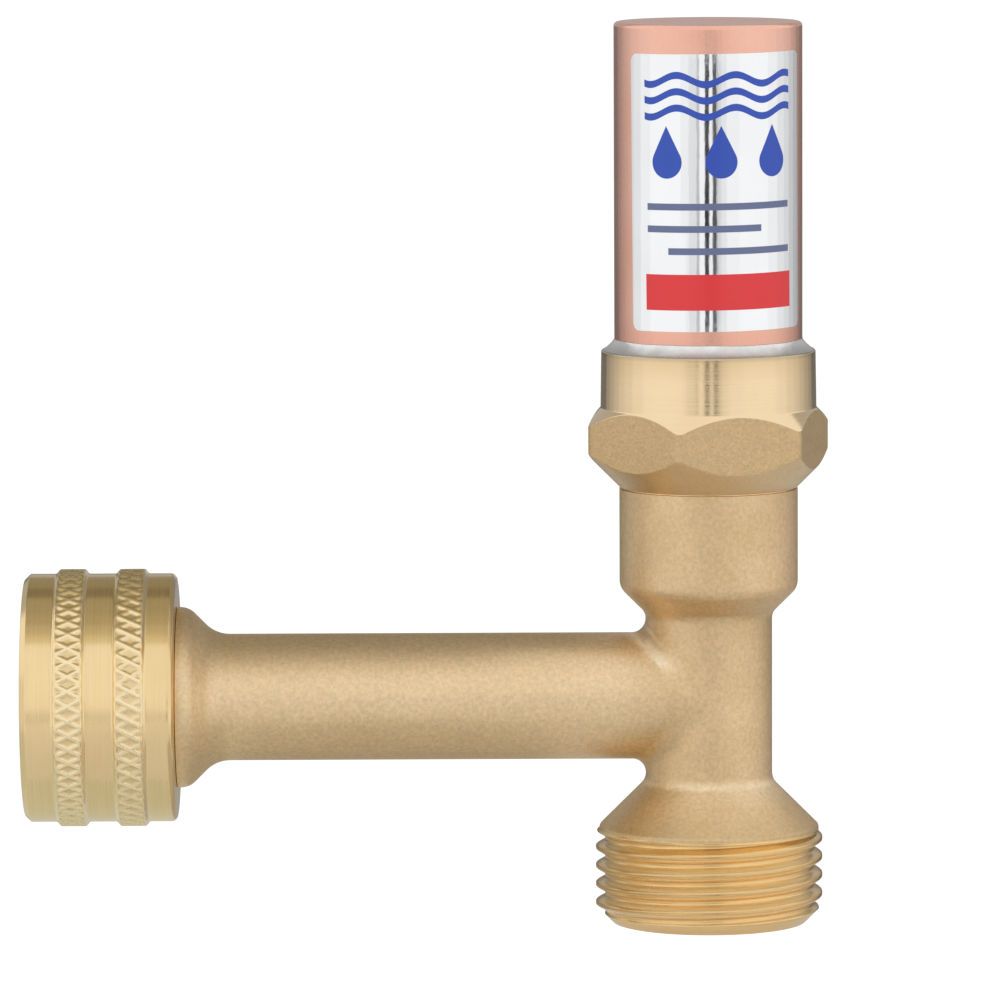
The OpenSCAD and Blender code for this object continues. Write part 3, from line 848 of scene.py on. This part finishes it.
def drawn_copper():
    """Drawn tube: fine lines along it, soft tarnish, and a heat stain towards the solder."""
    material, tree, shader = new_finish("drawn_copper", (0.80, 0.46, 0.34), 1.0, 0.22)
    where = place(tree)
    lines = grain(tree, place(tree, (2600, 2600, 25)), 1.0, 3)
    patches = grain(tree, where, 100, 3)
    pink = tint(tree, level(tree, patches, 0.35, 0.7), (0.90, 0.52, 0.405), (0.86, 0.465, 0.35))
    pink = shade(tree, pink, lines, 0.975, 1.015)
    height = node(tree, "SeparateXYZ", {"Vector": where}).outputs["Z"]
    stain = level(tree, height, 0.0695, 0.0735, 0.45, 0.0)
    wire(tree, shader, Base_Color=tint(tree, stain, pink, (0.76, 0.38, 0.28)))
    wire(tree, shader, Roughness=level(tree, lines, 0.3, 0.7, 0.21, 0.31))
    wire(tree, shader, Normal=relief(tree, lines, 0.000005, 0.5))
    return material


def bright_solder():
    """Frozen solder: grey, shiny, slightly lumpy, with dull patches of flux."""
    material, tree, shader = new_finish("bright_solder", (0.60, 0.61, 0.61), 1.0, 0.25)
    where = place(tree)
    lumps = grain(tree, where, 600, 2)
    flux = grain(tree, where, 350, 3)
    grey = tint(tree, level(tree, flux, 0.4, 0.7), (0.82, 0.82, 0.82), (0.70, 0.69, 0.67))
    height = node(tree, "SeparateXYZ", {"Vector": where}).outputs["Z"]
    grey = tint(tree, level(tree, height, 0.0682, 0.0692, 0.85, 0.0), grey, (0.45, 0.44, 0.41))
    wire(tree, shader, Base_Color=grey)
    wire(tree, shader, Roughness=level(tree, flux, 0.35, 0.7, 0.18, 0.4))
    wire(tree, shader, Normal=relief(tree, lumps, 0.00005, 0.5))
    return material


def oblong(tree, across, up, middle, size):
    """1 inside a rectangle on the film, given by its middle and size in millimetres, and 0 outside it."""
    wide = math(tree, "COMPARE", across, middle[0], size[0] / 2)
    tall = math(tree, "COMPARE", up, middle[1], size[1] / 2)
    return math(tree, "MULTIPLY", wide, tall)


def waves(tree, across, up, height, gap, count):
    """Parallel wavy lines: up minus a sine of across, held against evenly spaced heights."""
    sway = math(tree, "MULTIPLY", math(tree, "SINE", math(tree, "MULTIPLY", across, 0.9)), 0.55)
    level_up = math(tree, "SUBTRACT", up, sway)
    drawn = 0.0
    for i in range(count):
        line = math(tree, "COMPARE", level_up, height - i * gap, 0.42)
        drawn = math(tree, "MAXIMUM", line, drawn)
    return math(tree, "MULTIPLY", drawn, math(tree, "COMPARE", across, 0.0, 9.6))


def drop(tree, across, up, middle, radius):
    """A water drop: a circle, and above it two straight sides that meet at a point."""
    x = math(tree, "ABSOLUTE", math(tree, "SUBTRACT", across, middle[0]))
    y = math(tree, "SUBTRACT", up, middle[1])
    far = math(tree, "SQRT", math(tree, "ADD", math(tree, "MULTIPLY", x, x), math(tree, "MULTIPLY", y, y)))
    ball = math(tree, "LESS_THAN", far, radius)
    slope = math(tree, "MULTIPLY_ADD", y, 0.5, x)
    tip = math(tree, "LESS_THAN", slope, 1.118 * radius)
    tip = math(tree, "MULTIPLY", tip, math(tree, "GREATER_THAN", y, 0.4 * radius))
    return math(tree, "MAXIMUM", ball, tip)


def foil_print():
    """Mirror foil with a plain print of waves, drops and bars in red and blue ink."""
    material, tree, shader = new_finish("foil_print", (0.86, 0.88, 0.90), 1.0, 0.07)
    across, up = mark(tree, "across"), mark(tree, "up")
    blue = waves(tree, across, up, 13.2, 1.9, 3)
    for x in (-6.6, 0.0, 6.6):
        blue = math(tree, "MAXIMUM", blue, drop(tree, across, up, (x, 3.6), 1.9))
    slate = 0.0
    for height, middle, width in ((-1.6, 0.0, 18.6), (-4.2, -2.2, 14.2), (-6.8, 1.4, 15.8)):
        slate = math(tree, "MAXIMUM", oblong(tree, across, up, (middle, height), (width, 0.8)), slate)
    red = oblong(tree, across, up, (0.0, -11.6), (19.2, 4.2))
    foil = grain(tree, place(tree), 160, 2)
    colour = tint(tree, level(tree, foil, 0.3, 0.7), (0.89, 0.90, 0.92), (0.92, 0.93, 0.945))
    colour = tint(tree, blue, colour, (0.045, 0.10, 0.50))
    colour = tint(tree, slate, colour, (0.16, 0.19, 0.33))
    colour = tint(tree, red, colour, (0.80, 0.055, 0.06))
    ink = math(tree, "MAXIMUM", math(tree, "MAXIMUM", blue, slate), red)
    shader.inputs["Specular IOR Level"].default_value = 0.25
    wire(tree, shader, Base_Color=colour)
    wire(tree, shader, Metallic=level(tree, ink, 0, 1, 1.0, 0.1))
    rough = level(tree, foil, 0.3, 0.7, 0.05, 0.09)
    wire(tree, shader, Roughness=math(tree, "ADD", rough, level(tree, ink, 0, 1, 0.0, 0.16)))
    ripple = grain(tree, place(tree, (900, 900, 400)), 1.0, 2)
    wire(tree, shader, Normal=relief(tree, ripple, 0.000016, 0.5))
    return material


def moulded_rubber(name, colour):
    """Black moulded rubber with a fine matt grain and a bloom of grey."""
    material, tree, shader = new_finish(name, colour, 0.0, 0.6)
    where = place(tree)
    fine = grain(tree, where, 3500, 3)
    bloom = grain(tree, where, 220, 3)
    grey = tuple(min(1.0, c * 2.2 + 0.01) for c in colour)
    wire(tree, shader, Base_Color=tint(tree, level(tree, bloom, 0.45, 0.75, 0.0, 0.7), colour, grey))
    wire(tree, shader, Roughness=level(tree, bloom, 0.3, 0.7, 0.5, 0.72))
    wire(tree, shader, Normal=relief(tree, fine, 0.00002, 0.5))
    return material


def piston_plastic():
    """Turned ivory plastic with faint rings from the tool."""
    material, tree, shader = new_finish("piston_plastic", (0.72, 0.70, 0.63), 0.0, 0.4)
    rings = grain(tree, place(tree, (50, 50, 5000)), 1.0, 3)
    patches = grain(tree, place(tree), 120, 2)
    ivory = tint(tree, level(tree, patches, 0.35, 0.65), (0.74, 0.72, 0.65), (0.68, 0.66, 0.58))
    wire(tree, shader, Base_Color=shade(tree, ivory, rings, 0.96, 1.02))
    wire(tree, shader, Roughness=level(tree, rings, 0.3, 0.7, 0.34, 0.46))
    wire(tree, shader, Normal=relief(tree, rings, 0.000008, 0.6))
    return material


# Studio

def seen_by_mirrors(tree):
    """1 for rays from the camera, from shiny surfaces and through clear ones, 0 for the rest."""
    path = node(tree, "LightPath", {})
    seen = math(tree, "MAXIMUM", path.outputs["Is Camera Ray"], path.outputs["Is Glossy Ray"])
    return math(tree, "MAXIMUM", seen, path.outputs["Is Transmission Ray"])


def white_world():
    """White to look at and in reflections, and a low even fill for the light itself."""
    world = bpy.data.worlds.new("white_world")
    world.use_nodes = True
    tree = world.node_tree
    glow = tree.nodes["Background"]
    glow.inputs["Color"].default_value = (1, 1, 1, 1)
    strength = level(tree, seen_by_mirrors(tree), 0, 1, 0.2, 1.0)
    tree.links.new(strength, glow.inputs["Strength"])
    bpy.context.scene.world = world


def panel(name, corners, material):
    """A flat four-cornered sheet that belongs to the studio."""
    mesh = bpy.data.meshes.new(name)
    mesh.from_pydata(corners, [], [(0, 1, 2, 3)])
    mesh.materials.append(material)
    sheet = bpy.data.objects.new(name, mesh)
    bpy.context.scene.collection.objects.link(sheet)
    return sheet


def pale_floor():
    """A pale floor that glows enough to be white to the camera, and takes the shadow on its matt part."""
    material = bpy.data.materials.new("pale_floor")
    material.use_nodes = True
    tree = material.node_tree
    tree.nodes.remove(tree.nodes["Principled BSDF"])
    path = node(tree, "LightPath", {})
    matt = node(tree, "BsdfDiffuse", {"Color": (0.9, 0.9, 0.9, 1)})
    camera = math(tree, "MAXIMUM", path.outputs["Is Camera Ray"], path.outputs["Is Transmission Ray"])
    strength = math(tree, "MULTIPLY", camera, 0.88)
    strength = math(tree, "MULTIPLY_ADD", path.outputs["Is Glossy Ray"], 0.25, strength)
    glow = node(tree, "Emission", {"Strength": strength})
    both = node(tree, "AddShader", {0: matt.outputs[0], 1: glow.outputs[0]})
    tree.links.new(both.outputs[0], tree.nodes["Material Output"].inputs["Surface"])
    z = FLOOR_Z
    panel("floor", [(-9, -9, z), (9, -9, z), (9, 9, z), (-9, 9, z)], material)


def card(name, corners, strength, colour=WHITE, clear_back=False):
    """A card that only shiny surfaces see, and only from its face if its back is clear."""
    material = bpy.data.materials.new(name)
    material.use_nodes = True
    tree = material.node_tree
    tree.nodes.remove(tree.nodes["Principled BSDF"])
    glow = node(tree, "Emission", {"Color": (*colour, 1), "Strength": strength})
    if clear_back:
        back = node(tree, "NewGeometry", {}).outputs["Backfacing"]
        clear = node(tree, "BsdfTransparent", {})
        glow = node(tree, "MixShader", {0: back, 1: glow.outputs[0], 2: clear.outputs[0]})
    tree.links.new(glow.outputs[0], tree.nodes["Material Output"].inputs["Surface"])
    sheet = panel(name, corners, material)
    sheet.visible_camera = False
    sheet.visible_diffuse = False
    sheet.visible_transmission = False
    sheet.visible_shadow = False


def standing_card(name, ends, low, high, strength):
    """An upright card between two ends, given as x and y, and two heights."""
    card(name, [(*ends[0], low), (*ends[1], low), (*ends[1], high), (*ends[0], high)], strength)


def ring_card(name, near, far, low, high, strength):
    """An upright card between two bearings in degrees, counted from the front towards +X."""
    ends = [(RING_R * np.sin(b), -RING_R * np.cos(b)) for b in np.radians([near, far])]
    standing_card(name, ends, low, high, strength)


def level_card(name, across, deep, height, strength, colour=WHITE):
    """A lying card between two x and two y, clear from the side that is turned away from the arm."""
    (left, right), (front, back) = across, deep
    corners = [(left, front, height), (right, front, height), (right, back, height), (left, back, height)]
    if height > ARM_Z * MM:
        corners.reverse()
    card(name, corners, strength, colour, clear_back=True)


def softbox(name, bearing, distance, wide, tall, height, brightness):
    """A soft lamp that stands upright and faces the column; its power gives its face the named brightness."""
    lamp = bpy.data.lights.new(name, "AREA")
    lamp.shape = "RECTANGLE"
    lamp.size = wide
    lamp.size_y = tall
    lamp.energy = brightness * np.pi * wide * tall
    holder = bpy.data.objects.new(name, lamp)
    turn = np.radians(bearing)
    holder.location = (distance * np.sin(turn), -distance * np.cos(turn), height)
    holder.rotation_euler = (np.pi / 2, 0, turn)
    holder.visible_camera = False
    holder.visible_glossy = False
    bpy.context.scene.collection.objects.link(holder)


def studio():
    """Two large softboxes beside the camera for the light, and cards that give shiny surfaces a room to show:
    a ring of upright ones all round, flags above and below the arm, one before the nut and one behind all."""
    white_world()
    pale_floor()
    for side, bearing in (("left", -52), ("right", 56)):
        softbox(f"softbox_{side}", bearing, distance=0.62, wide=1.24, tall=0.62, height=0.19, brightness=1.25)
    near = RING_START
    for i, (far, grey) in enumerate(RING_CARDS):
        for j, (low, high, fade) in enumerate(RING_TIERS):
            paler = grey + fade * (1 - grey) if abs(far) < RING_FRONT else grey
            ring_card(f"ring_card_{i}_{j}", near, far, low, high, paler)
        near = far
    for i, (front, back, grey) in enumerate(NUT_FLAGS):
        level_card(f"nut_flag_{i}", NUT_FLAG_X, (front, back), NUT_FLAG_Z, grey, WARM)
    for i, (front, back, grey) in enumerate(ARM_FLAGS):
        level_card(f"arm_flag_{i}", ARM_FLAG_X, (front, back), ARM_FLAG_Z, grey, TAN)
        if front > CROTCH_FLAG_FRONT:
            level_card(f"crotch_flag_{i}", CROTCH_FLAG_X, (front, back), ARM_FLAG_Z, grey, TAN)
    level_card("nut_foot_flag", NUT_FOOT_FLAG_X, NUT_FOOT_FLAG_Y, NUT_FOOT_FLAG_Z, 0.66, PALE_GREEN)
    for i, (front, back, grey) in enumerate(ARM_FOOT_FLAGS):
        level_card(f"arm_foot_flag_{i}", ARM_FOOT_FLAG_X, (front, back), ARM_FOOT_FLAG_Z, grey, TAN)
    standing_card("nut_card", [(x, NUT_CARD_Y) for x in NUT_CARD_X], *NUT_CARD_Z, 1.0)
    standing_card("back_card", [(x, BACK_CARD_Y) for x in BACK_CARD_X], *BACK_CARD_Z, 0.48)


def photo_camera():
    """A long lens nearly one metre away, a little above the part and tipped down."""
    lens = bpy.data.cameras.new("photo_camera")
    lens.sensor_width = SENSOR_WIDTH
    lens.lens = FOCAL_LENGTH
    camera = bpy.data.objects.new("photo_camera", lens)
    camera.location = CAMERA_AT
    camera.rotation_mode = "ZXY"
    camera.rotation_euler = (np.radians(90 - CAMERA_TIP), 0, np.radians(CAMERA_TURN))
    bpy.context.scene.collection.objects.link(camera)
    bpy.context.scene.camera = camera


def dress(node_name, material):
    """Gives a CAD node that keeps its shape its finish."""
    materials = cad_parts[node_name].data.materials
    materials.clear()
    materials.append(material)


put(tee_casting(), "tee_body", "tee", cast_brass())
put(knurled_nut(), "swivel_nut", "swivel", turned_brass())
put(hexagon_adapter(), "hex_adapter", "tee", adapter_brass())
put(copper_tube(), "copper_chamber", "tee", drawn_copper())
put(solder_ring(), "solder_fillet", "tee", bright_solder())
put(foil_label(), "label", "tee", foil_print())
washer_rubber = moulded_rubber("washer_rubber", (0.02, 0.02, 0.022))
put(rubber_washer(), "hose_washer", "swivel", washer_rubber)
seal_rubber = moulded_rubber("seal_rubber", (0.016, 0.016, 0.017))
dress("adapter_seal", seal_rubber)
dress("piston_ring_lower", seal_rubber)
dress("piston_ring_upper", seal_rubber)
dress("piston", piston_plastic())
studio()
photo_camera()
bpy.context.scene.view_settings.view_transform = "Standard"
